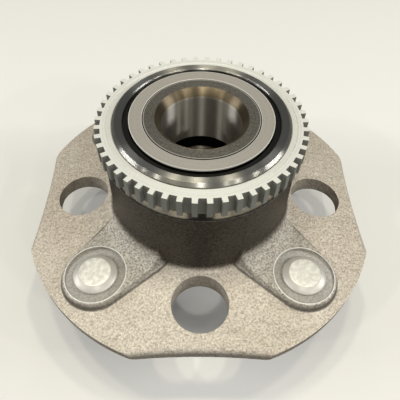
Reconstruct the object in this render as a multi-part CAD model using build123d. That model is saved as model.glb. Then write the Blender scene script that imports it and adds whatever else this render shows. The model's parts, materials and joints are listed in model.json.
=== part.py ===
from build123d import *

import os
from math import cos, hypot, radians, sin, sqrt, tan

# Wheel hub bearing: a rear hub unit whose outer ring turns with the wheel. The forged hub carries the wheel
# flange, four pressed-in studs and both outer raceways; two inner rings stay still on a 30 mm spindle. Two
# rows of balls run between them in snap-in cages, a cassette seal closes each end, and a toothed ring for the
# wheel-speed sensor is pressed on the inboard end.
# Millimetres. The origin is on the spindle axis in the wheel-mounting face; +Z points inboard, up the neck.

# ---- wheel side -------------------------------------------------------------------------------------------
STUD_PCD = 114.3            # circle of the four wheel studs
STUD_COUNT = 4
THREAD_D = 12.0             # M12 x 1.5 studs
THREAD_PITCH = 1.5
THREAD_DEPTH = 0.541 * THREAD_PITCH
THREAD_FLANK = 30.0         # half of the thread's angle, degrees
THREAD_RUN_OUT = 1.0        # plain length under the wheel-mounting face
KNURL_D = 12.5              # serrated part of the stud, in the flange
STUD_LENGTH = 44.0          # under the head
STUD_TIP_CHAMFER = 1.1
STUD_HEAD_D = 16.9
STUD_HEAD_H = 2.4
STUD_HEAD_FLAT_D = 12.4     # flat middle of the head, inside its sloping rim
STUD_HEAD_RIM_DROP = 0.45
PILOT_D = 64.1              # centres the wheel and the brake
PILOT_LENGTH = 15.0
PILOT_LEAD = 1.2
FACE_GROOVE_W = 1.6         # relief in the wheel-mounting face round the pilot's root
FACE_GROOVE_DEPTH = 0.5
CAP_BORE_D = 59.5           # recess for the spindle nut, and seat of its cap
CAP_BORE_LEAD = 0.6

# ---- flange -----------------------------------------------------------------------------------------------
FLANGE_D = 149.2
FLANGE_T = 7.4              # thickness at the circle of the access holes
FLANGE_SLOPE = 7.0          # the forged inboard face falls away outwards, degrees
FLANGE_RIM_CHAMFER = 0.8
SIDE_DEPTH = 5.6            # the four hollow sides cut this far into the round rim
SIDE_ARC_R = 272.0
SIDE_ROUND = 2.2            # forged round along the inboard edge of each side
ACCESS_HOLE_D = 21.9
ACCESS_HOLE_CIRCLE_D = 103.5

# ---- stud pads: drafted wedges that run from the neck out round each stud -----------------------------------
PAD_END_R = 14.8            # round end of the outline, drawn in the wheel-mounting face
PAD_FLARE = 7.0             # each side opens towards the neck, degrees
PAD_DRAFT = 14.0
PAD_ROOT_AT = 30.0          # the wedge starts inside the hub's wall, this far from the axis
PAD_TOP_AT_STUD = 9.5       # height of the pad's top over the stud's centre
PAD_TOP_SLOPE = 3.8
PAD_NECK_FILLET = 10.0
PAD_SINK = 0.15             # the fillet runs this far into the neck, so that the two meet cleanly
PAD_COVER = 1.1             # the cover over the wedge reaches this many fillet radii up the neck
PAD_EDGE_ROUND = 0.8
PAD_FOOT_FILLET = 1.5
SPOTFACE_D = 23.4
SPOTFACE_Z = 8.55           # machined seat under the stud's head

# ---- neck and inboard end -----------------------------------------------------------------------------------
NECK_TOP_R = 37.4
NECK_DRAFT = 0.6
NECK_FILLET = 4.0
BAND_R = 37.1               # turned band between the neck and the toothed ring
BAND_Z = 40.1
BAND_LEDGE = 0.3
SPIGOT_D = 66.0             # carries the toothed ring
SPIGOT_BEVEL = 1.1
SPIGOT_PROUD = 0.2          # straight part of the spigot above the toothed ring
HUB_END_BELOW_RING_FACE = 0.2

# ---- toothed ring -------------------------------------------------------------------------------------------
TOOTH_COUNT = 50
TONE_RING_H = 8.15
TONE_WALL = 4.1             # from the spigot to the roots of the teeth
TOOTH_DEPTH = 2.1
TOOTH_FOOT = 0.8            # the teeth start this far above the ring's lower face
TOOTH_TIP_W = 1.8
TOOTH_ROOT_W = 2.15
TONE_BORE_LEAD = 0.3
TONE_STEP_W = 2.2           # shallow turned step on the upper face, next to the spigot
TONE_STEP_DEPTH = 0.15

# ---- bearing --------------------------------------------------------------------------------------------------
BORE_D = 30.0
RING_FACE_Z = 53.8          # inboard face of the inner rings
RING_WIDTH = 27.3           # each inner ring
BORE_CORNER_R = 4.6         # clears the fillet at the spindle's shoulder
BORE_CORNER_DEPTH = 4.05
BORE_RELIEF_R = 16.1        # relief at the joint of the rings
BORE_RELIEF_W = 3.3         # its width on each ring
CLIP_GROOVE_R = 16.6
CLIP_GROOVE_W = 0.9
CLIP_GROOVE_AT = 2.1        # from the joint
CLIP_THICK = 0.5
CLIP_SLOT = 5.0
BALL_D = 10.32
BALL_COUNT = 12             # in each row
PITCH_R = 23.75
ROW_OFFSET = 9.0            # ball centres from the joint of the rings
CONTACT_ANGLE = 36.0
CONFORMITY = 0.53           # groove radius over ball diameter
RING_SHOULDER_R = 21.8
RING_LOW_SHOULDER_R = 20.0
RING_CHAMFER = 0.3          # at the joint of the rings
HUB_LAND_R = 26.9           # between the two outer raceways
HUB_LOW_SHOULDER_R = 28.85
CAGE_R_IN = 22.4
CAGE_R_OUT = 25.6
CAGE_BELOW_BALL = 1.8       # pocket lips past the ball's middle, which hold it
CAGE_ABOVE_BALL = 7.4

# ---- seals ----------------------------------------------------------------------------------------------------
SEAL_BORE_R = 29.07
SEAL_BORE_LEAD = 0.4
SEAL_SEAT = 5.6             # depth of the seal's shoulder below the hub's end
SHEET = 0.6                 # steel of the seal case and of the slinger
BEND_R = 0.48               # outside of their bends
CASE_H = 3.9
CASE_FLANGE_R = 24.2
SLINGER_R = 26.7
SLINGER_H = 5.0
SLINGER_PROUD = 0.1         # above the inner ring's face
LIP_THICK = 0.5
LIP_DRAFT = 0.15            # the rubber's rim leans in this far

# ---- clearances -------------------------------------------------------------------------------------------------
PRESS_GAP = 0.02            # radial, between pressed pieces
BALL_CLEAR = 0.15           # ball to raceway
POCKET_CLEAR = 0.2          # ball to cage
LIP_CLEAR = 0.3             # rubber to the turning slinger

# ---- worked out from the sizes above ----------------------------------------------------------------------------
STUD_CIRCLE_R = STUD_PCD / 2
PILOT_R = PILOT_D / 2
CAP_BORE_R = CAP_BORE_D / 2
FLANGE_R = FLANGE_D / 2
SPIGOT_R = SPIGOT_D / 2 - PRESS_GAP
HUB_END_Z = RING_FACE_Z - HUB_END_BELOW_RING_FACE
JOINT_Z = RING_FACE_Z - RING_WIDTH
HUB_END_UP = HUB_END_Z - JOINT_Z
SEAL_SEAT_UP = HUB_END_UP - SEAL_SEAT
HUB_OUTBOARD_END_Z = JOINT_Z - HUB_END_UP
BALL_R = BALL_D / 2
GROOVE_R = CONFORMITY * BALL_D
GROOVE_SHIFT = GROOVE_R - BALL_R - BALL_CLEAR
BORE_R = BORE_D / 2


def flange_top(r):
    """Height of the sloping inboard face of the flange at radius r."""
    return FLANGE_T + (ACCESS_HOLE_CIRCLE_D / 2 - r) * tan(radians(FLANGE_SLOPE))


def pad_top(r):
    """Height of the stud pads' top at radius r."""
    return PAD_TOP_AT_STUD + (STUD_CIRCLE_R - r) * tan(radians(PAD_TOP_SLOPE))


def neck_radius(z):
    """Radius of the drafted neck at height z."""
    return NECK_TOP_R + (BAND_Z - z) * tan(radians(NECK_DRAFT))


def turned(outline, *rounds):
    """Body turned round Z from a closed (r, z) outline, with corners rounded at (r, z, radius)."""
    face = make_face(Polyline(*outline, close=True))
    for r, z, radius in rounds:
        corner = face.vertices().sort_by_distance((r, z, 0))[0]
        face = fillet(corner, radius)
    return revolve(Plane.XZ * face, Axis.Z)


def around(shape, count, start=0.0):
    """Copies of a shape spaced evenly round Z, the first at start degrees."""
    return [Rot(0, 0, start + 360 / count * i) * shape for i in range(count)]


def other_row(shape):
    """The same piece on the outboard side of the joint of the inner rings."""
    return mirror(shape, about=Plane.XY.offset(JOINT_Z))


# ---- hub ------------------------------------------------------------------------------------------------------
def hub_blank():
    """Forged and turned body without pads, holes or raceway grooves."""
    foot_r = neck_radius(flange_top(NECK_TOP_R))
    outline = [
        (CAP_BORE_R + CAP_BORE_LEAD, -PILOT_LENGTH),
        (PILOT_R - PILOT_LEAD, -PILOT_LENGTH),
        (PILOT_R, -PILOT_LENGTH + 2 * PILOT_LEAD),
        (PILOT_R, FACE_GROOVE_DEPTH),
        (PILOT_R + FACE_GROOVE_W, FACE_GROOVE_DEPTH),
        (PILOT_R + FACE_GROOVE_W, 0),
        (FLANGE_R - FLANGE_RIM_CHAMFER, 0),
        (FLANGE_R, FLANGE_RIM_CHAMFER),
        (FLANGE_R, flange_top(FLANGE_R)),
        (foot_r, flange_top(foot_r)),
        (NECK_TOP_R, BAND_Z - BAND_LEDGE),
        (BAND_R, BAND_Z),
        (BAND_R, tone_ring_foot()),
        (SPIGOT_R, tone_ring_foot()),
        (SPIGOT_R, HUB_END_Z - SPIGOT_BEVEL),
        (SPIGOT_R - SPIGOT_BEVEL, HUB_END_Z),
        (SEAL_BORE_R + SEAL_BORE_LEAD, HUB_END_Z),
        (SEAL_BORE_R, HUB_END_Z - SEAL_BORE_LEAD),
        (SEAL_BORE_R, JOINT_Z + SEAL_SEAT_UP),
        (HUB_LOW_SHOULDER_R, JOINT_Z + SEAL_SEAT_UP),
        (HUB_LOW_SHOULDER_R, JOINT_Z + ROW_OFFSET),
        (HUB_LAND_R, JOINT_Z + ROW_OFFSET),
        (HUB_LAND_R, JOINT_Z - ROW_OFFSET),
        (HUB_LOW_SHOULDER_R, JOINT_Z - ROW_OFFSET),
        (HUB_LOW_SHOULDER_R, JOINT_Z - SEAL_SEAT_UP),
        (SEAL_BORE_R, JOINT_Z - SEAL_SEAT_UP),
        (SEAL_BORE_R, HUB_OUTBOARD_END_Z),
        (CAP_BORE_R, HUB_OUTBOARD_END_Z - (CAP_BORE_R - SEAL_BORE_R)),
        (CAP_BORE_R, -PILOT_LENGTH + CAP_BORE_LEAD),
    ]
    return turned(outline, (foot_r, flange_top(foot_r), NECK_FILLET))


def pad_outline(z):
    """Outline of the +X pad at height z: straight flared sides, tangent to a round end."""
    end_r = PAD_END_R - z * tan(radians(PAD_DRAFT))
    flare = radians(PAD_FLARE)
    x = STUD_CIRCLE_R + end_r * sin(flare)
    y = end_r * cos(flare)
    root_y = y + (x - PAD_ROOT_AT) * tan(flare)
    outline = [
        Line((PAD_ROOT_AT, -root_y), (x, -y)),
        ThreePointArc((x, -y), (STUD_CIRCLE_R + end_r, 0), (x, y)),
        Line((x, y), (PAD_ROOT_AT, root_y)),
        Line((PAD_ROOT_AT, root_y), (PAD_ROOT_AT, -root_y)),
    ]
    return Pos(0, 0, z) * make_face(outline)


def stud_pad():
    """One pad on +X: a drafted wedge under a turned top that sweeps up into the neck."""
    foot_r = neck_radius(pad_top(NECK_TOP_R)) - PAD_SINK
    top = pad_top(foot_r) + PAD_COVER * PAD_NECK_FILLET
    reach = STUD_CIRCLE_R + PAD_END_R
    wedge = loft([pad_outline(0), pad_outline(top)], ruled=True)
    cover = turned(
        [
            (PAD_ROOT_AT, FLANGE_T / 2),
            (reach, FLANGE_T / 2),
            (reach, pad_top(reach)),
            (foot_r, pad_top(foot_r)),
            (neck_radius(top) - PAD_SINK, top),
            (PAD_ROOT_AT, top),
        ],
        (foot_r, pad_top(foot_r), PAD_NECK_FILLET),
    )
    pad = wedge & Rot(0, 0, 180) * cover
    rim = pad.edges().filter_by(lambda e: e.center().Z > FLANGE_T and on_pad_rim(e.center()))
    return fillet(rim, PAD_EDGE_ROUND)


def on_pad_rim(point):
    """True for the edges between the +X pad's top and its sides and end."""
    return point.X > STUD_CIRCLE_R or (point.X > PAD_ROOT_AT + 2 and abs(point.Y) > 1)


def hollow_sides():
    """Cutters for the four slightly hollow sides of the flange."""
    cutter = Pos(FLANGE_R - SIDE_DEPTH + SIDE_ARC_R, 0, 0) * Cylinder(SIDE_ARC_R, 4 * FLANGE_T)
    return around(cutter, STUD_COUNT)


def raceway(inner):
    """Cutter for the inboard row's groove in the inner ring or, if not inner, in the hub."""
    turn = radians(CONTACT_ANGLE)
    side = 1 if inner else -1
    radius = PITCH_R + side * GROOVE_SHIFT * cos(turn)
    height = ROW_OFFSET - side * GROOVE_SHIFT * sin(turn)
    return Pos(0, 0, JOINT_Z + height) * Torus(radius, GROOVE_R)


def hub_flange():
    body = hub_blank() - hollow_sides()
    sides = body.edges().filter_by(lambda e: on_hollow_side(e.center()))
    body = fillet(sides, SIDE_ROUND)
    body += around(stud_pad(), STUD_COUNT, 45)
    feet = body.edges().filter_by(lambda e: on_pad_foot(e.center()))
    body = fillet(feet, PAD_FOOT_FILLET)
    seat = Pos(STUD_CIRCLE_R, 0, SPOTFACE_Z + FLANGE_T) * Cylinder(SPOTFACE_D / 2, 2 * FLANGE_T)
    hole = Pos(STUD_CIRCLE_R, 0, 0) * Cylinder(KNURL_D / 2 + PRESS_GAP, 4 * FLANGE_T)
    body -= around(seat + hole, STUD_COUNT, 45)
    access = Pos(ACCESS_HOLE_CIRCLE_D / 2, 0, 0) * Cylinder(ACCESS_HOLE_D / 2, 4 * FLANGE_T)
    body -= around(access, STUD_COUNT)
    groove = raceway(inner=False)
    return body - [groove, other_row(groove)]


def on_hollow_side(point):
    """True for the inboard edge of one of the hollow sides."""
    reach = max(abs(point.X), abs(point.Y))
    return abs(reach - (FLANGE_R - SIDE_DEPTH)) < 1 and point.Z > FLANGE_T / 3


def on_pad_foot(point):
    """True for the edges between the stud pads and the flange's inboard face."""
    r = hypot(point.X, point.Y)
    across = abs(abs(point.X) - abs(point.Y)) / sqrt(2)
    on_face = abs(point.Z - flange_top(r)) < 0.3
    return on_face and across < PAD_END_R + 2 and NECK_TOP_R + 5 < r < FLANGE_R - 1


# ---- studs ----------------------------------------------------------------------------------------------------
def thread(start, end):
    """(r, z) points down a thread between two heights, drawn as rings one pitch apart."""
    crest = THREAD_PITCH * 7 / 16
    root = crest - THREAD_DEPTH * tan(radians(THREAD_FLANK))
    points = []
    for turn in range(int((start - end) / THREAD_PITCH)):
        z = start - THREAD_PITCH * (turn + 0.5)
        points += [
            (THREAD_D / 2, z + crest),
            (THREAD_D / 2 - THREAD_DEPTH, z + root),
            (THREAD_D / 2 - THREAD_DEPTH, z - root),
            (THREAD_D / 2, z - crest),
        ]
    return points


def wheel_stud():
    """Pressed-in stud at its place on +X: a low head, a serrated part and the thread."""
    head_r = STUD_HEAD_D / 2
    tip = SPOTFACE_Z - STUD_LENGTH
    taper = (KNURL_D - THREAD_D) / 2
    return Pos(STUD_CIRCLE_R, 0, 0) * turned(
        [
            (0, SPOTFACE_Z + STUD_HEAD_H),
            (STUD_HEAD_FLAT_D / 2, SPOTFACE_Z + STUD_HEAD_H),
            (head_r, SPOTFACE_Z + STUD_HEAD_H - STUD_HEAD_RIM_DROP),
            (head_r, SPOTFACE_Z),
            (KNURL_D / 2, SPOTFACE_Z),
            (KNURL_D / 2, taper),
            (THREAD_D / 2, 0),
            *thread(-THREAD_RUN_OUT, tip + STUD_TIP_CHAMFER),
            (THREAD_D / 2, tip + STUD_TIP_CHAMFER),
            (THREAD_D / 2 - STUD_TIP_CHAMFER, tip),
            (0, tip),
        ]
    )


# ---- toothed ring ---------------------------------------------------------------------------------------------
def tone_ring_foot():
    """Height of the shoulder that the toothed ring is pressed against."""
    return HUB_END_Z - SPIGOT_BEVEL - SPIGOT_PROUD - TONE_RING_H


def tone_ring():
    foot = tone_ring_foot()
    top = foot + TONE_RING_H
    bore_r = SPIGOT_D / 2
    step_r = bore_r + TONE_STEP_W
    root_r = bore_r + TONE_WALL
    tip_r = root_r + TOOTH_DEPTH
    tooth = Polygon(
        (root_r - 1, -TOOTH_ROOT_W / 2),
        (tip_r + 1, -TOOTH_TIP_W / 2),
        (tip_r + 1, TOOTH_TIP_W / 2),
        (root_r - 1, TOOTH_ROOT_W / 2),
        align=None,
    )
    half_pitch = 180 / TOOTH_COUNT
    gear = Circle(root_r) + around(tooth, TOOTH_COUNT, half_pitch - 90)
    gear = (gear & Circle(tip_r)) - Circle(step_r)
    teeth = Pos(0, 0, foot + TOOTH_FOOT) * extrude(gear, amount=TONE_RING_H - TOOTH_FOOT)
    body = turned(
        [
            (bore_r, foot),
            (root_r, foot),
            (root_r, top),
            (step_r, top),
            (step_r - TONE_STEP_DEPTH, top - TONE_STEP_DEPTH),
            (bore_r + TONE_BORE_LEAD, top - TONE_STEP_DEPTH),
            (bore_r, top - TONE_STEP_DEPTH - TONE_BORE_LEAD),
        ]
    )
    return body + teeth


# ---- inner rings ----------------------------------------------------------------------------------------------
def inner_ring():
    """Inboard inner ring, with its groove, its rounded bore mouth and the relief for the clip."""
    up = JOINT_Z
    mouth_r = BORE_R + BORE_CORNER_R - sqrt(BORE_CORNER_R**2 - BORE_CORNER_DEPTH**2)
    groove_top = CLIP_GROOVE_AT + CLIP_GROOVE_W
    blank = turned(
        [
            (BORE_RELIEF_R, up),
            (RING_LOW_SHOULDER_R - RING_CHAMFER, up),
            (RING_LOW_SHOULDER_R, up + RING_CHAMFER),
            (RING_LOW_SHOULDER_R, up + ROW_OFFSET),
            (RING_SHOULDER_R, up + ROW_OFFSET),
            (RING_SHOULDER_R, RING_FACE_Z),
            (BORE_R, RING_FACE_Z),
            (BORE_R, up + BORE_RELIEF_W),
            (BORE_RELIEF_R, up + BORE_RELIEF_W),
            (BORE_RELIEF_R, up + groove_top),
            (CLIP_GROOVE_R, up + groove_top),
            (CLIP_GROOVE_R, up + CLIP_GROOVE_AT),
            (BORE_RELIEF_R, up + CLIP_GROOVE_AT),
        ]
    )
    low = RING_FACE_Z - BORE_CORNER_DEPTH
    mouth = make_face(
        [
            Line((0, low), (BORE_R, low)),
            RadiusArc((BORE_R, low), (mouth_r, RING_FACE_Z), BORE_CORNER_R),
            Line((mouth_r, RING_FACE_Z), (0, RING_FACE_Z)),
            Line((0, RING_FACE_Z), (0, low)),
        ]
    )
    return blank - revolve(Plane.XZ * mouth, Axis.Z) - raceway(inner=True)


def inner_ring_clip():
    """Split spring band that snaps into both rings and keeps them together before fitting."""
    out_r = BORE_RELIEF_R - PRESS_GAP
    in_r = out_r - CLIP_THICK
    hook_r = CLIP_GROOVE_R - PRESS_GAP
    half = CLIP_GROOVE_AT + CLIP_GROOVE_W - PRESS_GAP
    hook = CLIP_GROOVE_AT + PRESS_GAP
    band = turned(
        [
            (in_r, JOINT_Z - half),
            (hook_r, JOINT_Z - half),
            (hook_r, JOINT_Z - hook),
            (out_r, JOINT_Z - hook),
            (out_r, JOINT_Z + hook),
            (hook_r, JOINT_Z + hook),
            (hook_r, JOINT_Z + half),
            (in_r, JOINT_Z + half),
        ]
    )
    return band - Pos(0, -BORE_RELIEF_R, JOINT_Z) * Box(CLIP_SLOT, 4 * CLIP_THICK, 4 * half)


# ---- balls and cages ------------------------------------------------------------------------------------------
def balls():
    """The balls of the inboard row, the first on +X."""
    ball = Pos(PITCH_R, 0, JOINT_Z + ROW_OFFSET) * Sphere(BALL_R)
    return around(ball, BALL_COUNT)


def cage():
    """Crown cage of the inboard row: its pockets open towards the joint and snap over the balls."""
    low = JOINT_Z + ROW_OFFSET - CAGE_BELOW_BALL
    high = JOINT_Z + ROW_OFFSET + CAGE_ABOVE_BALL
    crown = turned([(CAGE_R_IN, low), (CAGE_R_OUT, low), (CAGE_R_OUT, high), (CAGE_R_IN, high)])
    pocket = Pos(PITCH_R, 0, JOINT_Z + ROW_OFFSET) * Sphere(BALL_R + POCKET_CLEAR)
    return crown - around(pocket, BALL_COUNT)


# ---- seals ----------------------------------------------------------------------------------------------------
def seal_case():
    """Steel case of the inboard seal, pressed against the shoulder in the hub."""
    low = JOINT_Z + SEAL_SEAT_UP
    out_r = SEAL_BORE_R - PRESS_GAP
    in_r = out_r - SHEET
    return turned(
        [
            (CASE_FLANGE_R, low),
            (out_r, low),
            (out_r, low + CASE_H),
            (in_r, low + CASE_H),
            (in_r, low + SHEET),
            (CASE_FLANGE_R, low + SHEET),
        ],
        (out_r, low, BEND_R),
    )


def seal_lip():
    """Rubber of the inboard seal: a wall inside the case, a lip up to the slinger and one to its sleeve."""
    low = JOINT_Z + SEAL_SEAT_UP + SHEET
    case_r = SEAL_BORE_R - PRESS_GAP
    out_r = case_r - SHEET
    rim = JOINT_Z + SEAL_SEAT_UP + CASE_H
    wall_r = SLINGER_R + LIP_CLEAR
    under_slinger = slinger_top() - SHEET - LIP_CLEAR
    sleeve_r = RING_SHOULDER_R + PRESS_GAP + SHEET
    lip_r = (wall_r + CASE_FLANGE_R) / 2
    return turned(
        [
            (CASE_FLANGE_R - LIP_THICK, low),
            (out_r, low),
            (out_r, rim),
            (case_r, rim),
            (case_r - LIP_DRAFT, rim + LIP_THICK),
            (wall_r, rim + LIP_THICK),
            (wall_r, low + 2 * LIP_THICK),
            (lip_r + LIP_THICK, low + LIP_THICK),
            (lip_r, under_slinger),
            (lip_r - LIP_THICK, under_slinger),
            (lip_r - LIP_THICK, low + LIP_THICK),
            (CASE_FLANGE_R, low + LIP_THICK),
            (sleeve_r + LIP_CLEAR, low + 3 * LIP_THICK),
            (sleeve_r + LIP_CLEAR, low + 2 * LIP_THICK),
        ]
    )


def slinger_top():
    """Height of the inboard slinger's face."""
    return RING_FACE_Z + SLINGER_PROUD


def slinger():
    """Steel slinger of the inboard seal: a sleeve on the inner ring and a flange that covers the rubber."""
    top = slinger_top()
    in_r = RING_SHOULDER_R + PRESS_GAP
    return turned(
        [
            (in_r, top - SLINGER_H),
            (in_r + SHEET, top - SLINGER_H),
            (in_r + SHEET, top - SHEET),
            (SLINGER_R, top - SHEET),
            (SLINGER_R, top),
            (in_r, top),
        ],
        (in_r, top, BEND_R),
    )


def pieces():
    """Every node's name with its shape."""
    yield "hub_flange", hub_flange()
    for number, stud in enumerate(around(wheel_stud(), STUD_COUNT, 45), 1):
        yield f"wheel_stud_{number}", stud
    yield "tone_ring", tone_ring()
    yield "inner_ring_clip", inner_ring_clip()
    pairs = {
        "inner_ring": inner_ring(),
        "ball_cage": cage(),
        "seal_case": seal_case(),
        "seal_lip": seal_lip(),
        "seal_slinger": slinger(),
    }
    for name, shape in pairs.items():
        yield f"{name}_inboard", shape
        yield f"{name}_outboard", other_row(shape)
    for number, ball in enumerate(balls(), 1):
        yield f"ball_inboard_{number:02d}", ball
        yield f"ball_outboard_{number:02d}", other_row(ball)


os.makedirs("parts", exist_ok=True)
for node, shape in pieces():
    export_step(shape, f"parts/{node}.step")
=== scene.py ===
import json
import math

import bmesh
import bpy
import numpy as np
from bpy.props import FloatProperty, FloatVectorProperty, IntProperty, PointerProperty
from mathutils import Matrix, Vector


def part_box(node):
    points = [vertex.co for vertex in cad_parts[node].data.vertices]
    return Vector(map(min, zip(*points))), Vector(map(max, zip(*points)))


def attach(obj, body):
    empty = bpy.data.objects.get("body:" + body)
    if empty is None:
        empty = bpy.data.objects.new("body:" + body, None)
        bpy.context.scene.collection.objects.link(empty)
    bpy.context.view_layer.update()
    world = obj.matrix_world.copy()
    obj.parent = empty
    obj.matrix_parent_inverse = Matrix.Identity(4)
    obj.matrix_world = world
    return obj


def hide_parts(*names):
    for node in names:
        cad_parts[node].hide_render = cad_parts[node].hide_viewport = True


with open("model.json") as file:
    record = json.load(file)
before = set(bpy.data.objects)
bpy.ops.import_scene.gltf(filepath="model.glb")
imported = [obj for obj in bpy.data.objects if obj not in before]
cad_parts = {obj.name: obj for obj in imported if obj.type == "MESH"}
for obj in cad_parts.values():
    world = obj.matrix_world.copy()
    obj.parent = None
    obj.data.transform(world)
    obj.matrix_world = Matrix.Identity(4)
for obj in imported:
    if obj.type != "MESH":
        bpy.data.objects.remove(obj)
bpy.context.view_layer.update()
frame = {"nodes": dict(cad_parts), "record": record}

bl_info = {
    "name": "Wheel hub bearing",
    "version": (1, 0, 0),
    "blender": (4, 5, 0),
    "location": "View3D > Sidebar > Hub bearing",
    "description": "Dresses a rear wheel hub bearing: threaded studs, metal, rubber and a plain studio",
    "category": "Object",
}

MM = 0.001
ROWS = ("inboard", "outboard")


def mount(name):
    """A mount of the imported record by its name."""
    return next(m for m in frame["record"]["mounts"] if m["name"] == name)


def reach(node):
    """Outer radius of a node turned about the spindle axis, in metres."""
    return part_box(node)[1].x


STUD_MOUNT = mount("wheel_studs")["dims"]
STUD_COUNT = STUD_MOUNT["count"]
STUD_CIRCLE_R = STUD_MOUNT["pcd_mm"] * MM / 2
STUD_TIP_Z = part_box("wheel_stud_1")[0].z
STUD_HEAD_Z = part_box("wheel_stud_1")[1].z
STUD_HEAD_R = (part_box("wheel_stud_1")[1].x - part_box("wheel_stud_1")[0].x) / 2
RING_TOP_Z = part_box("tone_ring")[1].z
BORE_R = mount("spindle_bore")["dims"]["r_mm"] * MM
MOUTH_R = 17.4 * MM
JOINT_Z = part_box("inner_ring_inboard")[0].z
RING_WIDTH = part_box("inner_ring_inboard")[1].z - JOINT_Z
SEAL_BORE_R = reach("seal_case_inboard")
SLINGER_R = reach("seal_slinger_inboard")
SLINGER_R_IN = reach("inner_ring_inboard")
BAND_FOOT_Z = 40.0 * MM
BAND_TAPER = 0.16
# Radii over which the neck turns to its scale colours, which painted shade makes darker than scale alone
NECK_SCALE_AND_SHADE_R = (37.9 * MM, 39.6 * MM)
PAD_FLARE = math.radians(7)
PAD_FOOT_R = 13.4 * MM
PAD_EDGE = 0.8 * MM
SPOTFACE_R = 11.7 * MM
SPOTFACE_Z = 8.55 * MM
# Radii of the head's flat and its rounded start, and how far each lies below the top
HEAD_FLAT = ((0.0, 0.0), (3.0 * MM, 0.0), (5.7 * MM, 0.0), (6.0 * MM, 0.03 * MM), (6.3 * MM, 0.12 * MM))
HEAD_EDGE = 0.15 * MM
KNURL_R = 6.25 * MM
THREAD_START_Z = -1.0 * MM
THREAD_DEPTH = 0.541  # in pitches
TIP_CHAMFER = 1.6 * MM
TIP_SLOPE = 0.8
STUD_SHARP_DEGREES = 18


# ---- colours and materials -------------------------------------------------------------------------------------

def colour(hex_text):
    """Linear RGBA of an sRGB colour written as six hex digits."""
    channels = [int(hex_text[i:i + 2], 16) / 255 for i in (0, 2, 4)]
    linear = [c / 12.92 if c <= 0.04045 else ((c + 0.055) / 1.055) ** 2.4 for c in channels]
    return (*linear, 1.0)


# Near-white laid along rims and bends as painted highlight
PAINTED_EDGE_HIGHLIGHT = colour("EFEDE6")
# Black laid into tight corners as painted shade
PAINTED_CORNER_SHADE = colour("000000")
# Near-black line laid in the gap at the inner rings' outer edge as painted shade
PAINTED_GAP_SHADE = colour("0D0D0D")
CLOUDING = colour("F3F1EF")
PITTING = colour("CECBC7")
DWELL_MARK = colour("898989")
FIBRE_BLOOM = colour("4A443C")
BLUED_STEEL = colour("2E2C2B")
BALL_STEEL = colour("D2D2D0")
FLOOR_SEEN = colour("DEDDD9")
FLOOR_DARK = colour("2C2A28")
SURROUND = colour("B8BABC")
SURROUND_STRENGTH = 0.35


def add(tree, kind, sockets=None, **settings):
    """A node of that kind with its settings, and its sockets set to values or linked to other sockets."""
    made = tree.nodes.new("ShaderNode" + kind)
    for name, value in settings.items():
        setattr(made, name, value)
    for name, value in (sockets or {}).items():
        if isinstance(value, bpy.types.NodeSocket):
            tree.links.new(value, made.inputs[name])
        else:
            made.inputs[name].default_value = value
    return made


def material(name):
    """An empty node material, its tree, its principled shader and the object coordinates."""
    made = bpy.data.materials.get(name) or bpy.data.materials.new(name)
    made.use_nodes = True
    made.node_tree.nodes.clear()
    tree = made.node_tree
    shader = add(tree, "BsdfPrincipled")
    add(tree, "OutputMaterial", {"Surface": shader.outputs[0]})
    place = add(tree, "TexCoord").outputs["Object"]
    return made, tree, shader, place


def maths(tree, operation, *values):
    """Result of a maths node on values or sockets."""
    return add(tree, "Math", dict(enumerate(values)), operation=operation).outputs[0]


def step(tree, value, low, high):
    """0 below low, 1 above high and a smooth rise between them."""
    sockets = {"Value": value, "From Min": low, "From Max": high}
    return add(tree, "MapRange", sockets, interpolation_type="SMOOTHSTEP").outputs[0]


def fall(tree, value, low, high):
    """1 below low, 0 above high and a smooth fall between them."""
    return step(tree, maths(tree, "MULTIPLY", value, -1), -high, -low)


def apart(tree, first, second):
    """Size of the difference of two numbers."""
    return maths(tree, "ABSOLUTE", maths(tree, "SUBTRACT", first, second))


def blend(tree, share, first, second, mode="MIX"):
    """Colours or sockets mixed by a share."""
    made = add(tree, "Mix", data_type="RGBA", blend_type=mode)
    for name, value in (("Factor_Float", share), ("A_Color", first), ("B_Color", second)):
        socket = next(s for s in made.inputs if s.identifier == name)
        if isinstance(value, bpy.types.NodeSocket):
            tree.links.new(value, socket)
        else:
            socket.default_value = value
    return next(s for s in made.outputs if s.identifier == "Result_Color")


def lerp(tree, share, first, second):
    """Numbers or sockets mixed by a share."""
    return add(tree, "MapRange", {"Value": share, "To Min": first, "To Max": second}, clamp=True).outputs[0]


def grain(tree, place, size, detail=2.0, roughness=0.5):
    """Noise between about 0.3 and 0.7 whose blobs are about the given size in metres."""
    sockets = {"Vector": place, "Scale": 1 / size, "Detail": detail, "Roughness": roughness}
    return add(tree, "TexNoise", sockets).outputs["Fac"]


def radius(tree, place):
    """Distance from the spindle axis."""
    flat = add(tree, "VectorMath", {0: place, 1: (1, 1, 0)}, operation="MULTIPLY").outputs[0]
    return add(tree, "VectorMath", {0: flat}, operation="LENGTH").outputs["Value"]


def height(tree, place):
    """Height above the wheel-mounting face."""
    return add(tree, "SeparateXYZ", {0: place}).outputs["Z"]


def across_grooves(tree, place):
    """Direction across lathe marks, along which highlights spread: the surface normal crossed with the direction
    round the axis, which is radial on faces and axial on walls."""
    around = add(tree, "VectorMath", {0: (0, 0, 1), 1: place}, operation="CROSS_PRODUCT").outputs[0]
    turned = add(tree, "VectorTransform", {"Vector": around}, vector_type="VECTOR", convert_from="OBJECT",
                 convert_to="WORLD").outputs[0]
    normal = add(tree, "NewGeometry").outputs["Normal"]
    across = add(tree, "VectorMath", {0: normal, 1: turned}, operation="CROSS_PRODUCT").outputs[0]
    return add(tree, "VectorMath", {0: across}, operation="NORMALIZE").outputs[0]


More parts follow.
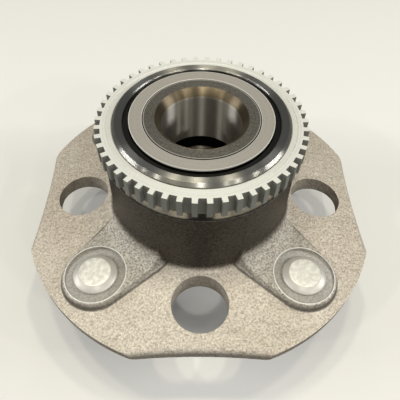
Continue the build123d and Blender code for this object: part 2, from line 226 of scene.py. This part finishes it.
def eased_edges(tree, width):
    """Normal that rounds sharp edges by a width, as deburring does."""
    return add(tree, "Bevel", {"Radius": width}, samples=6).outputs[0]


def openness(tree, distance):
    """0 in tight corners and 1 in the open, by the share of sky seen within a distance."""
    return add(tree, "AmbientOcclusion", {"Distance": distance}, samples=6).outputs["AO"]


def along_section(tree, place):
    """Radius plus height, which changes evenly along faces and along walls."""
    return maths(tree, "ADD", radius(tree, place), height(tree, place))


def ring_bump(tree, place, feed, strength, normal):
    """Bump of tool marks: the sine of 2 pi (radius plus height) / feed, with a phase that wanders slowly."""
    across = along_section(tree, place)
    wander = maths(tree, "MULTIPLY", grain(tree, place, 9 * MM), 1.5)
    phase = maths(tree, "ADD", maths(tree, "DIVIDE", across, feed), wander)
    rings = maths(tree, "SINE", maths(tree, "MULTIPLY", phase, 2 * math.pi))
    sockets = {"Height": rings, "Strength": strength, "Distance": feed / 8, "Normal": normal}
    return add(tree, "Bump", sockets).outputs[0]


def from_pads(tree, place):
    """Distance from the middle line of the nearest stud pad, measured square to its flared sides and, past the
    stud, from the stud's axis."""
    folded = add(tree, "VectorMath", {0: place}, operation="ABSOLUTE").outputs[0]
    parts = add(tree, "SeparateXYZ", {0: folded}).outputs
    along = maths(tree, "MULTIPLY", maths(tree, "ADD", parts["X"], parts["Y"]), math.sqrt(0.5))
    past = maths(tree, "SUBTRACT", along, STUD_CIRCLE_R)
    across = maths(tree, "MULTIPLY", maths(tree, "SUBTRACT", parts["X"], parts["Y"]), math.sqrt(0.5))
    across = maths(tree, "ABSOLUTE", across)
    side = maths(tree, "ADD", maths(tree, "MULTIPLY", across, math.cos(PAD_FLARE)),
                 maths(tree, "MULTIPLY", past, math.sin(PAD_FLARE)))
    squares = maths(tree, "ADD", maths(tree, "POWER", past, 2.0), maths(tree, "POWER", across, 2.0))
    return lerp(tree, maths(tree, "GREATER_THAN", past, 0.0), side, maths(tree, "SQRT", squares))


def tool_lines(tree, place, feed):
    """0 to 1 in uneven concentric lines, most of them faint: noise along radius plus height, cut off below half."""
    line = add(tree, "CombineXYZ", {"X": along_section(tree, place)}).outputs[0]
    return step(tree, grain(tree, line, feed, 2, 0.6), 0.5, 0.75)


def forged_steel(colours, sizes):
    """Drop-forged medium-carbon steel, shot-blasted and left bare, with its fits turned bright afterwards. Blasting
    leaves a pale, faintly sparkling grain on what faced the nozzle, its sparkle painted glints in bright specks; the
    neck keeps dark scale, made darker as painted shade, and the stud pads are greyer between the two. A thin painted
    shade lines the crease round each pad, painted shade darkens tight corners and a painted highlight rings each
    spotface. Turned faces are smooth and mirror dark and light bands across their tool marks."""
    made, tree, shader, place = material("shot_blasted_forging")
    r = radius(tree, place)
    z = height(tree, place)
    grit = sizes.grit
    fine = grain(tree, place, grit, 4, 0.75)
    coarse = grain(tree, place, 3 * grit, 3)
    cloud = grain(tree, place, 26 * MM, 3)
    # Painted glints: bright specks standing for light caught on the flats the shot left
    painted_glints = step(tree, grain(tree, place, 0.8 * grit, 2), 0.6, 0.72)
    crest = step(tree, fine, 0.36, 0.62)
    blasted = blend(tree, crest, colours.blasted_dark, colours.blasted_light)
    blasted = blend(tree, maths(tree, "MULTIPLY", painted_glints, 0.8), blasted, colours.glint_colour)
    neck_scale_and_shade = blend(tree, crest, colours.shade_and_scale_dark, colours.scale_light)
    padded = blend(tree, crest, colours.pad_dark, colours.pad_light)
    padded = blend(tree, maths(tree, "MULTIPLY", painted_glints, 0.4), padded, colours.glint_colour)
    pad = from_pads(tree, place)
    on_pad = fall(tree, pad, PAD_FOOT_R - PAD_EDGE, PAD_FOOT_R)
    # Painted shade: a thin dark line in the scale's dark colour along the foot of each pad
    crease = fall(tree, apart(tree, pad, PAD_FOOT_R), 0.2 * MM, 0.7 * MM)
    # Neck: dark scale, darkened further as painted shade
    on_neck = fall(tree, r, *NECK_SCALE_AND_SHADE_R)
    surface = blend(tree, on_pad, blasted, padded)
    surface = blend(tree, maths(tree, "MULTIPLY", crease, 0.75), surface, colours.shade_and_scale_dark)
    surface = blend(tree, on_neck, surface, neck_scale_and_shade)
    surface = blend(tree, step(tree, cloud, 0.35, 0.7), surface, CLOUDING, "MULTIPLY")
    pits = step(tree, coarse, 0.6, 0.74)
    surface = blend(tree, maths(tree, "MULTIPLY", pits, 0.4), surface, PITTING, "MULTIPLY")
    spot = add(tree, "VectorMath", {0: place}, operation="ABSOLUTE").outputs[0]
    centre = STUD_CIRCLE_R / math.sqrt(2)
    spot = add(tree, "VectorMath", {0: spot, 1: (centre, centre, 0)}, operation="SUBTRACT").outputs[0]
    from_stud = radius(tree, spot)
    on_spot = maths(tree, "LESS_THAN", from_stud, SPOTFACE_R + 0.05 * MM)
    # Painted highlight: a bright ring just outside the rim of each spotface
    crest_highlight = fall(tree, apart(tree, from_stud, SPOTFACE_R + 0.15 * MM), 0.1 * MM, 0.35 * MM)
    surface = blend(tree, maths(tree, "MULTIPLY", crest_highlight, 0.8), surface, PAINTED_EDGE_HIGHLIGHT)
    above_foot = maths(tree, "GREATER_THAN", z, BAND_FOOT_Z)
    on_end = maths(tree, "GREATER_THAN", z, RING_TOP_Z - 1 * MM)
    on_band = maths(tree, "SUBTRACT", above_foot, on_end)
    on_wheel_side = maths(tree, "LESS_THAN", z, 0.3 * MM)
    in_bore = maths(tree, "LESS_THAN", r, SEAL_BORE_R + 1 * MM)
    turned = maths(tree, "MAXIMUM", maths(tree, "MAXIMUM", on_spot, above_foot),
                   maths(tree, "MAXIMUM", on_wheel_side, in_bore))
    bright = blend(tree, above_foot, colours.turned, colours.polished)
    bright = blend(tree, on_spot, bright, blend(tree, crest, colours.turned, colours.pad_light))
    base = blend(tree, turned, surface, bright)
    # Painted shade: tight corners darkened towards black by ambient occlusion
    painted_corner_shade = lerp(tree, openness(tree, 2 * MM), 0.4, 0.0)
    base = blend(tree, painted_corner_shade, base, PAINTED_CORNER_SHADE)
    tree.links.new(base, shader.inputs["Base Color"])
    dull = maths(tree, "MULTIPLY", on_spot, 0.5)
    tree.links.new(maths(tree, "SUBTRACT", lerp(tree, turned, 0.3, 1.0), dull), shader.inputs["Metallic"])
    smooth = lerp(tree, on_band, 0.33, 0.2)
    rough = lerp(tree, turned, 0.5, smooth)
    tree.links.new(maths(tree, "ADD", rough, maths(tree, "MULTIPLY", dull, 0.3)), shader.inputs["Roughness"])
    tree.links.new(maths(tree, "SUBTRACT", turned, on_band), shader.inputs["Anisotropic"])
    tree.links.new(across_grooves(tree, place), shader.inputs["Tangent"])
    dents = maths(tree, "ADD", maths(tree, "MULTIPLY", coarse, 1.5), fine)
    forged_only = maths(tree, "MULTIPLY", maths(tree, "SUBTRACT", 1, turned), 0.9)
    taper = add(tree, "CombineXYZ", {"Z": maths(tree, "MULTIPLY", on_band, -BAND_TAPER)}).outputs[0]
    lean = add(tree, "VectorMath", {0: eased_edges(tree, 0.25 * MM), 1: taper}, operation="ADD").outputs[0]
    lean = add(tree, "VectorMath", {0: lean}, operation="NORMALIZE").outputs[0]
    bump = add(tree, "Bump", {"Height": dents, "Strength": forged_only, "Distance": 0.35 * grit, "Normal": lean})
    strength = maths(tree, "MULTIPLY", maths(tree, "SUBTRACT", turned, on_band), 0.1)
    marks = ring_bump(tree, place, 0.45 * MM, strength, bump.outputs[0])
    tree.links.new(marks, shader.inputs["Normal"])
    return made


def ring_steel(colours):
    """Through-hardened bearing steel. The face is ground matt and speckled by handling, with a painted highlight just
    inside its outer edge and a painted shade in the gap where the seal meets it. The rounded mouth keeps a straw
    temper colour, and the honed bore is a dark mirror that draws every lamp out into a streak along it."""
    made, tree, shader, place = material("ground_bearing_steel")
    r = radius(tree, place)
    from_joint = apart(tree, height(tree, place), JOINT_Z)
    at_end = maths(tree, "GREATER_THAN", from_joint, RING_WIDTH - 0.2 * MM)
    on_face = maths(tree, "MULTIPLY", at_end, maths(tree, "GREATER_THAN", r, MOUTH_R - 0.1 * MM))
    in_bore = maths(tree, "LESS_THAN", r, BORE_R + 0.1 * MM)
    mottle = grain(tree, place, 0.7 * MM, 4, 0.7)
    face = blend(tree, step(tree, mottle, 0.3, 0.7), colours.ring_shade, colours.ring_face)
    from_rim = maths(tree, "SUBTRACT", SLINGER_R_IN, r)
    # Painted highlight: a bright band just inside the face's outer edge
    face = blend(tree, maths(tree, "LESS_THAN", from_rim, 0.6 * MM), face, colours.turned)
    # Painted shade: a dark line at the face's outer edge, in the gap beside the slinger
    face = blend(tree, maths(tree, "LESS_THAN", from_rim, 0.3 * MM), face, PAINTED_GAP_SHADE)
    base = blend(tree, in_bore, colours.straw, colours.bore)
    tree.links.new(blend(tree, on_face, base, face), shader.inputs["Base Color"])
    tree.links.new(lerp(tree, on_face, 1.0, 0.5), shader.inputs["Metallic"])
    tree.links.new(lerp(tree, on_face, lerp(tree, in_bore, 0.45, 0.38), 0.55), shader.inputs["Roughness"])
    tree.links.new(lerp(tree, on_face, 1.0, 0.3), shader.inputs["Anisotropic"])
    tree.links.new(across_grooves(tree, place), shader.inputs["Tangent"])
    marks = ring_bump(tree, place, 0.25 * MM, 0.03, eased_edges(tree, 0.15 * MM))
    tree.links.new(marks, shader.inputs["Normal"])
    return made


def turned_steel(name, base, rough, feed, strength, speckle=0.0, spread=0.7, metal=1.0, dwell=0.1, painted_highlight_radii=None,
                 walls=None):
    """Turned or ground steel: metal whose fine rings spread highlights across them, mottled by handling and oil,
    with faint darker rings where the tool dwelt. Outside the given pair of radii, the bends get a painted highlight;
    the upright walls, which the tool never cut, get a duller colour that is partly painted shade."""
    made, tree, shader, place = material(name)
    mottle = grain(tree, place, 0.9 * MM, 4, 0.65)
    dark = tuple(c * (1 - speckle) for c in base[:3]) + (1,)
    shade = blend(tree, step(tree, mottle, 0.35, 0.62), dark, base)
    lines = maths(tree, "MULTIPLY", tool_lines(tree, place, 2.2 * feed), dwell)
    shade = blend(tree, lines, shade, DWELL_MARK, "MULTIPLY")
    # Painted highlight on the bends outside the given radii
    if painted_highlight_radii:
        low, high = painted_highlight_radii
        edge = apart(tree, radius(tree, place), (low + high) / 2)
        half = (high - low) / 2
        painted_bend_highlight = step(tree, edge, half, half + 0.12 * MM)
        shade = blend(tree, maths(tree, "MULTIPLY", painted_bend_highlight, 0.6), shade, PAINTED_EDGE_HIGHLIGHT)
    # Painted shade: upright walls take a darker colour for the dark surroundings they face, as well as for
    # steam-oxidised steel
    if walls:
        up = add(tree, "SeparateXYZ", {0: add(tree, "NewGeometry").outputs["True Normal"]}).outputs["Z"]
        shade = blend(tree, maths(tree, "LESS_THAN", maths(tree, "ABSOLUTE", up), 0.5), shade, walls)
    tree.links.new(shade, shader.inputs["Base Color"])
    shader.inputs["Metallic"].default_value = metal
    shader.inputs["Anisotropic"].default_value = spread
    smear = grain(tree, place, 5 * MM, 3)
    tree.links.new(lerp(tree, smear, rough * 0.8, rough * 1.25), shader.inputs["Roughness"])
    tree.links.new(across_grooves(tree, place), shader.inputs["Tangent"])
    marks = ring_bump(tree, place, feed, strength, eased_edges(tree, 0.15 * MM))
    tree.links.new(marks, shader.inputs["Normal"])
    return made


def zinc_plate(colours):
    """Bright zinc-plated, cold-headed steel: a pale, slightly milky metal with soft dents from the header, and a
    painted shade that darkens all of it below the flat of the head."""
    made, tree, shader, place = material("bright_zinc_plate")
    smear = grain(tree, place, 2.2 * MM, 3, 0.6)
    shade = blend(tree, step(tree, smear, 0.35, 0.7), colours.zinc_shade, colours.zinc)
    # Painted shade: everything below the flat of the head is darker
    on_rim = maths(tree, "GREATER_THAN", apart(tree, height(tree, place), STUD_HEAD_Z), 0.05 * MM)
    shade = blend(tree, on_rim, shade, colours.zinc_rim_shade)
    tree.links.new(shade, shader.inputs["Base Color"])
    shader.inputs["Metallic"].default_value = 0.35
    tree.links.new(lerp(tree, smear, 0.35, 0.5), shader.inputs["Roughness"])
    edges = eased_edges(tree, 0.3 * MM)
    sockets = {"Height": smear, "Strength": 0.35, "Distance": 0.15 * MM, "Normal": edges}
    tree.links.new(add(tree, "Bump", sockets).outputs[0], shader.inputs["Normal"])
    return made


def nitrile_rubber(colours):
    """Moulded black nitrile rubber: deep black with a faint oily sheen along its ridges and specks of dust."""
    made, tree, shader, place = material("nitrile_rubber")
    shader.inputs["Specular IOR Level"].default_value = 0.4
    smear = grain(tree, place, 2.5 * MM, 3)
    tree.links.new(lerp(tree, smear, 0.22, 0.42), shader.inputs["Roughness"])
    dust = step(tree, grain(tree, place, 0.5 * MM, 3, 0.7), 0.55, 0.75)
    shade = blend(tree, maths(tree, "MULTIPLY", dust, 0.3), colours.rubber, colours.scale_light)
    tree.links.new(shade, shader.inputs["Base Color"])
    sockets = {"Height": smear, "Strength": 0.2, "Distance": 0.1 * MM, "Normal": eased_edges(tree, 0.2 * MM)}
    tree.links.new(add(tree, "Bump", sockets).outputs[0], shader.inputs["Normal"])
    return made


def cage_polyamide(colours):
    """Glass-filled polyamide, injection moulded: matt near-black brown with a fine fibre bloom."""
    made, tree, shader, place = material("glass_filled_polyamide")
    bloom = grain(tree, place, 0.6 * MM, 3)
    shade = blend(tree, step(tree, bloom, 0.45, 0.7), colours.polyamide, FIBRE_BLOOM)
    tree.links.new(shade, shader.inputs["Base Color"])
    tree.links.new(lerp(tree, bloom, 0.4, 0.6), shader.inputs["Roughness"])
    bump = add(tree, "Bump", {"Height": bloom, "Strength": 0.15, "Distance": 0.05 * MM}).outputs[0]
    tree.links.new(bump, shader.inputs["Normal"])
    return made


# ---- surfaces --------------------------------------------------------------------------------------------------

def grid_mesh(name, points):
    """Mesh over a grid of points that closes round its first direction; rows of equal points become poles."""
    rows, columns = points.shape[:2]
    index = np.arange(rows * columns).reshape(rows, columns)
    near = np.roll(index, -1, axis=0)
    quads = np.stack([index[:, :-1], near[:, :-1], near[:, 1:], index[:, 1:]], axis=-1).reshape(-1, 4)
    made = bpy.data.meshes.new(name)
    made.from_pydata(points.reshape(-1, 3).tolist(), [], quads.tolist())
    return made


def tidy(mesh, sharp_degrees):
    """Merges doubled points, drops faces without area and shades smooth up to a sharp angle."""
    work = bmesh.new()
    work.from_mesh(mesh)
    bmesh.ops.remove_doubles(work, verts=work.verts, dist=1e-7)
    bmesh.ops.dissolve_degenerate(work, edges=work.edges, dist=1e-8)
    work.to_mesh(mesh)
    work.free()
    mesh.polygons.foreach_set("use_smooth", np.ones(len(mesh.polygons), bool))
    mesh.set_sharp_from_angle(angle=math.radians(sharp_degrees))
    mesh.update()


def place_piece(context, mesh, name, body, finish, node):
    """Object at the origin that rides on a body and stands for a CAD node."""
    made = bpy.data.objects.new(name, mesh)
    context.scene.collection.objects.link(made)
    mesh.materials.append(finish)
    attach(made, body)
    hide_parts(node)


def dress(nodes, finish):
    """Gives CAD nodes a finish in place of their plain material."""
    for name in nodes:
        for slot in frame["nodes"][name].material_slots:
            slot.material = finish


def stud_profile(sizes):
    """Radius and height down the stud from the middle of its head, before the thread is cut: a flat head with a
    sloping rim, the serrated part in the flange and the blank of the thread down to where the thread starts."""
    thread_r = sizes.thread_d / 2
    rim_z = STUD_HEAD_Z - sizes.head_drop
    return np.array([
        *((r, STUD_HEAD_Z - lower) for r, lower in HEAD_FLAT),
        (STUD_HEAD_R - HEAD_EDGE, rim_z),
        (STUD_HEAD_R, rim_z - HEAD_EDGE),
        (STUD_HEAD_R, SPOTFACE_Z + HEAD_EDGE),
        (STUD_HEAD_R - HEAD_EDGE, SPOTFACE_Z),
        (KNURL_R, SPOTFACE_Z),
        (KNURL_R, KNURL_R - thread_r),
        (thread_r, 0.0),
        (thread_r, THREAD_START_Z),
    ])


def threaded_stud(sizes, angle):
    """Surface of one stud. Its angle round its own axis is one direction and the distance along its profile the
    other. The thread is a trapezoid wave of (height / pitch - turns). Its depth, a share of the pitch, grows over the
    first pitch, and the tip's chamfer cuts it off."""
    head = stud_profile(sizes)
    start = head[-1, 1]
    tip = STUD_TIP_Z
    thread_r = sizes.thread_d / 2
    pitch = sizes.thread_pitch
    steps = int((start - tip) / pitch * sizes.rows_per_turn)
    heights = np.linspace(start, tip, steps + 1)[1:]
    turn = np.linspace(0, 2 * math.pi, sizes.stud_columns, endpoint=False)[:, None]
    phase = (heights[None, :] / pitch - turn / (2 * math.pi)) % 1.0
    wave = np.clip(np.abs(phase - 0.5) * 4 - 0.5, 0, 1)
    depth = THREAD_DEPTH * pitch
    fade = np.clip((start - heights) / pitch, 0, 1)[None, :]
    cone = thread_r - np.clip(TIP_CHAMFER - (heights - tip), 0, None)[None, :] * TIP_SLOPE
    r = np.minimum(thread_r - depth * fade * (1 - wave), cone)
    z = np.broadcast_to(heights, r.shape)
    head_r, head_z = (np.broadcast_to(head[:, i], (len(turn), len(head))) for i in (0, 1))
    r = np.concatenate([head_r, r, np.zeros((len(turn), 1))], axis=1)
    z = np.concatenate([head_z, z, np.full((len(turn), 1), tip)], axis=1)
    x = STUD_CIRCLE_R * math.cos(angle) + r * np.cos(turn)
    y = STUD_CIRCLE_R * math.sin(angle) + r * np.sin(turn)
    return np.stack([x, y, z], axis=-1)[::-1]


# ---- sizes and colours that a user would change ------------------------------------------------------------------

def size(name, description, default):
    """A length property in metres."""
    return FloatProperty(name=name, description=description, default=default, unit="LENGTH", precision=5)


def tint(name, description, hex_text):
    """A colour property with an sRGB default."""
    return FloatVectorProperty(name=name, description=description, default=colour(hex_text), subtype="COLOR", size=4)


class HubBearingSizes(bpy.types.PropertyGroup):
    """Sizes that the CAD model leaves to this file"""
    thread_d: size("Thread diameter", "Major diameter of the studs' thread", 2 * STUD_MOUNT["stud_r_mm"] * MM)
    thread_pitch: size("Thread pitch", "Pitch of the studs' thread", 1.5 * MM)
    rows_per_turn: IntProperty(name="Rows per turn", description="Rings of points along one pitch", default=8)
    stud_columns: IntProperty(name="Stud columns", description="Points round a stud", default=40)
    head_drop: size("Head rim drop", "How far the stud head's sloping rim falls", 1.5 * MM)
    grit: size("Blast grit", "Width of the dents that shot blasting leaves", 0.8 * MM)


class HubBearingColours(bpy.types.PropertyGroup):
    """Colours of the finishes"""
    blasted_light: tint("Blasted steel, light", "Crests of the shot-blasted grain", "D8CFC0")
    blasted_dark: tint("Blasted steel, dark", "Hollows of the shot-blasted grain", "A49A8C")
    # Colour of the painted glints on the blasted grain
    glint_colour: tint("Fleck", "Bright flats that the shot left", "EFE9DE")
    pad_light: tint("Pad, light", "Crests of the grain on the stud pads", "C8C3B8")
    pad_dark: tint("Pad, dark", "Hollows of the grain on the stud pads", "7E786E")
    # Light colour of the neck's scale, also made darker as painted shade; the rubber's dust specks use it too
    scale_light: tint("Scale, light", "Worn scale on the neck", "575044")
    # Dark colour of the neck's scale, made darker as painted shade; it also paints the shade in the crease round each
    # pad
    shade_and_scale_dark: tint("Scale, dark", "Deep scale on the neck", "231F1A")
    turned: tint("Turned steel", "Seats, faces and fits cut on a lathe", "A8A49C")
    polished: tint("Polished steel", "Finely turned end of the hub", "A4A29B")
    ring_face: tint("Ring face", "Ground face of the inner rings", "6E6B64")
    ring_shade: tint("Ring face, dark", "Handled and oiled spots on that face", "48453F")
    straw: tint("Straw", "Temper colour of the bore's rounded mouth", "8A7D66")
    bore: tint("Bore", "Honed bore of the inner rings", "BAB5AB")
    sintered: tint("Sintered steel", "Turned face of the toothed ring", "D8D8D0")
    # Darker colour of the teeth's walls: steam-oxidised steel, made darker as painted shade
    oxide_and_shade: tint("Steam oxide", "Walls of its teeth, left as sintered", "8E8F87")
    sheet: tint("Steel sheet", "Pressed slingers and seal cases", "9A968D")
    zinc: tint("Zinc", "Plate of the studs", "EEECE4")
    zinc_shade: tint("Zinc, shaded", "Thinner or handled plate", "D2CFC5")
    # Darker colour below the flat of the stud heads, a painted shade
    zinc_rim_shade: tint("Zinc, rim", "Drawn and rubbed plate of the rims and threads", "C4C1B8")
    rubber: tint("Rubber", "Seal rubber", "080806")
    polyamide: tint("Polyamide", "Ball cages", "26231F")


# ---- operators ---------------------------------------------------------------------------------------------------

class HubBearingPiece:
    """What the operators share."""
    bl_options = {"REGISTER", "UNDO"}


class HUBBEARING_OT_stage(HubBearingPiece, bpy.types.Operator):
    """Pale floor, soft lamps and the camera"""
    bl_idname = "hub_bearing.stage"
    bl_label = "Stage"

    def execute(self, context):
        make_floor(context)
        make_lamps(context)
        make_camera(context)
        return {"FINISHED"}


class HUBBEARING_OT_studs(HubBearingPiece, bpy.types.Operator):
    """Four pressed-in studs with their helical threads"""
    bl_idname = "hub_bearing.studs"
    bl_label = "Wheel studs"

    def execute(self, context):
        scene = context.scene
        finish = zinc_plate(scene.hub_bearing_colours)
        for number in range(1, STUD_COUNT + 1):
            name, node = f"threaded_stud_{number}", f"wheel_stud_{number}"
            low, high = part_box(node)
            angle = math.atan2(low.y + high.y, low.x + high.x)
            mesh = grid_mesh(name, threaded_stud(scene.hub_bearing_sizes, angle))
            tidy(mesh, STUD_SHARP_DEGREES)
            place_piece(context, mesh, name, "hub", finish, node)
        return {"FINISHED"}


class HUBBEARING_OT_hub(HubBearingPiece, bpy.types.Operator):
    """Finish of the forged hub"""
    bl_idname = "hub_bearing.hub"
    bl_label = "Forged hub"

    def execute(self, context):
        scene = context.scene
        dress(["hub_flange"], forged_steel(scene.hub_bearing_colours, scene.hub_bearing_sizes))
        return {"FINISHED"}


class HUBBEARING_OT_tone_ring(HubBearingPiece, bpy.types.Operator):
    """Finish of the toothed ring"""
    bl_idname = "hub_bearing.tone_ring"
    bl_label = "Toothed ring"

    def execute(self, context):
        colours = context.scene.hub_bearing_colours
        finish = turned_steel("turned_sintered_steel", colours.sintered, rough=0.5, feed=0.5 * MM, strength=0.12,
                              speckle=0.05, spread=0.4, metal=0.2, dwell=0.4, walls=colours.oxide_and_shade)
        dress(["tone_ring"], finish)
        return {"FINISHED"}


class HUBBEARING_OT_bearing(HubBearingPiece, bpy.types.Operator):
    """Finishes of the inner rings, their clip, the balls and the cages"""
    bl_idname = "hub_bearing.bearing"
    bl_label = "Bearing"

    def execute(self, context):
        colours = context.scene.hub_bearing_colours
        dress([f"inner_ring_{row}" for row in ROWS], ring_steel(colours))
        blued = turned_steel("blued_spring_steel", BLUED_STEEL, rough=0.35, feed=0.5 * MM, strength=0.05,
                             speckle=0.2, spread=0.5)
        dress(["inner_ring_clip"], blued)
        polished = turned_steel("polished_ball_steel", BALL_STEEL, rough=0.06, feed=0.5 * MM, strength=0.0, spread=0.0)
        dress([name for name in frame["nodes"] if name.startswith("ball_") and "cage" not in name], polished)
        dress([f"ball_cage_{row}" for row in ROWS], cage_polyamide(colours))
        return {"FINISHED"}


class HUBBEARING_OT_seals(HubBearingPiece, bpy.types.Operator):
    """Finishes of the seals"""
    bl_idname = "hub_bearing.seals"
    bl_label = "Seals"

    def execute(self, context):
        base = context.scene.hub_bearing_colours.sheet
        # Radii of the slinger between its bends; outside them the bends get a painted highlight
        bends = (SLINGER_R_IN + 0.35 * MM, SLINGER_R - 0.25 * MM)
        sheet = turned_steel("pressed_steel_sheet", base, rough=0.5, feed=0.35 * MM, strength=0.06, speckle=0.06,
                             spread=0.3, metal=0.15, dwell=0.15, painted_highlight_radii=bends)
        dress([f"seal_{part}_{row}" for part in ("case", "slinger") for row in ROWS], sheet)
        dress([f"seal_lip_{row}" for row in ROWS], nitrile_rubber(context.scene.hub_bearing_colours))
        return {"FINISHED"}


# ---- stage -------------------------------------------------------------------------------------------------------

CAMERA_PLACE = (-2.86 * MM, -121.56 * MM, 158.62 * MM)
CAMERA_YAW = 1.42
CAMERA_PITCH = 51.74
CAMERA_ROLL = 1.605
CAMERA_LENS = 38.97
FLOOR_R = 2.5
FLOOR_SIDES = 64
HIGH_LAMPS = ((0.3, 0.12, 1.2), (-0.26, 0.12, 1.2), (-0.035, 0.12, 1.2))
HIGH_LAMP_POWER = 2.1
FRONT_LAMP_POWER = 1.4
# Place of each front lamp, and its share of their power
FRONT_LAMPS = (
    (0.0, -0.7, 1.05, 1.8),
    (0.5, -0.85, 0.8, 0.5),
    (0.75, -0.8, 0.75, 1.0),
    (1.0, -0.4, 0.8, 1.0),
    (-0.8, -0.55, 0.85, 1.0),
    (-1.0, -0.35, 0.75, 0.5),
)


def make_floor(context):
    """Round pale floor that the studs stand on. Only the camera sees it pale: light and reflections meet a dark
    floor, so the metal keeps its contrast. A dim grey surround."""
    turn = np.linspace(0, 2 * math.pi, FLOOR_SIDES, endpoint=False)
    ring = np.stack([FLOOR_R * np.cos(turn), FLOOR_R * np.sin(turn), np.full(FLOOR_SIDES, STUD_TIP_Z)], axis=-1)
    mesh = bpy.data.meshes.new("floor")
    mesh.from_pydata(ring.tolist(), [], [list(range(FLOOR_SIDES))])
    floor = bpy.data.objects.new("floor", mesh)
    context.scene.collection.objects.link(floor)
    made, tree, shader, _ = material("pale_floor")
    shader.inputs["Roughness"].default_value = 0.9
    shader.inputs["Specular IOR Level"].default_value = 0.1
    seen = add(tree, "LightPath").outputs["Is Camera Ray"]
    tree.links.new(blend(tree, seen, FLOOR_DARK, FLOOR_SEEN), shader.inputs["Base Color"])
    mesh.materials.append(made)
    world = bpy.data.worlds.new("surround")
    world.use_nodes = True
    background = world.node_tree.nodes["Background"]
    background.inputs["Color"].default_value = SURROUND
    background.inputs["Strength"].default_value = SURROUND_STRENGTH
    context.scene.world = world


def lamp(context, name, place, power, width, depth, tone="FFFFFF", mirrored=True):
    """Rectangular lamp at a place, turned to face the object, its depth as near to Y as that allows. One that
    isn't mirrored lights the object without showing in the metal."""
    data = bpy.data.lights.new(name, "AREA")
    data.shape = "RECTANGLE"
    data.size = width
    data.size_y = depth
    data.energy = power
    data.color = colour(tone)[:3]
    made = bpy.data.objects.new(name, data)
    context.scene.collection.objects.link(made)
    made.visible_glossy = mirrored
    x, y, z = place
    made.location = place
    made.rotation_euler = (-math.atan2(y, z), math.atan2(x, math.hypot(y, z)), 0)


def make_lamps(context):
    """A broad soft lamp above and slightly in front, which lights the object without showing in the metal; a row of
    small lamps high above it, a little behind, which the rings of the hub's end mirror as bright patches; small lamps
    in front and at its sides, which the bore draws out into streaks; and a tall soft lamp low on each side."""
    lamp(context, "overhead_lamp", (0.2, -0.5, 1.25), power=2.4, width=1.3, depth=0.8, mirrored=False)
    for number, place in enumerate(HIGH_LAMPS, 1):
        lamp(context, f"high_lamp_{number}", place, HIGH_LAMP_POWER, width=0.05, depth=0.1, tone="FFFAE6")
    for number, (x, y, z, share) in enumerate(FRONT_LAMPS, 1):
        power = FRONT_LAMP_POWER * share
        lamp(context, f"front_lamp_{number}", (x, y, z), power, width=0.02, depth=0.06, tone="FFFCF4")
    lamp(context, "left_lamp", (-1.1, 0.0, 0.45), power=4.6, width=0.16, depth=0.5)
    lamp(context, "right_lamp", (1.1, 0.0, 0.5), power=5.2, width=0.16, depth=0.5)


def make_camera(context):
    """Camera above the front edge, looking steeply down, with a slight roll."""
    data = bpy.data.cameras.new("camera")
    data.lens = CAMERA_LENS
    data.clip_start = 0.01
    made = bpy.data.objects.new("camera", data)
    context.scene.collection.objects.link(made)
    turn = Matrix.Rotation(math.radians(-CAMERA_YAW), 4, "Z")
    tilt = Matrix.Rotation(math.radians(90 - CAMERA_PITCH), 4, "X")
    roll = Matrix.Rotation(math.radians(CAMERA_ROLL), 4, "Z")
    made.matrix_world = Matrix.Translation(CAMERA_PLACE) @ turn @ tilt @ roll
    context.scene.camera = made


# ---- panel and registration ----------------------------------------------------------------------------------------

class HUBBEARING_PT_panel(bpy.types.Panel):
    """Sizes, colours and steps of the hub bearing"""
    bl_label = "Hub bearing"
    bl_idname = "HUBBEARING_PT_panel"
    bl_space_type = "VIEW_3D"
    bl_region_type = "UI"
    bl_category = "Hub bearing"

    def draw(self, context):
        layout = self.layout
        for group in (context.scene.hub_bearing_sizes, context.scene.hub_bearing_colours):
            for name in group.bl_rna.properties.keys():
                if name not in ("rna_type", "name"):
                    layout.prop(group, name)
        for operator in OPERATORS:
            layout.operator(operator.bl_idname)


OPERATORS = (
    HUBBEARING_OT_stage,
    HUBBEARING_OT_hub,
    HUBBEARING_OT_studs,
    HUBBEARING_OT_tone_ring,
    HUBBEARING_OT_bearing,
    HUBBEARING_OT_seals,
)
CLASSES = (HubBearingSizes, HubBearingColours, *OPERATORS, HUBBEARING_PT_panel)


def register():
    for cls in CLASSES:
        bpy.utils.register_class(cls)
    bpy.types.Scene.hub_bearing_sizes = PointerProperty(type=HubBearingSizes)
    bpy.types.Scene.hub_bearing_colours = PointerProperty(type=HubBearingColours)


def unregister():
    del bpy.types.Scene.hub_bearing_colours
    del bpy.types.Scene.hub_bearing_sizes
    for cls in reversed(CLASSES):
        bpy.utils.unregister_class(cls)


def main():
    register()
    bpy.context.scene.view_settings.view_transform = "Standard"
    bpy.ops.hub_bearing.stage()
    bpy.ops.hub_bearing.hub()
    bpy.ops.hub_bearing.studs()
    bpy.ops.hub_bearing.tone_ring()
    bpy.ops.hub_bearing.bearing()
    bpy.ops.hub_bearing.seals()


if __name__ == "__main__":
    main()
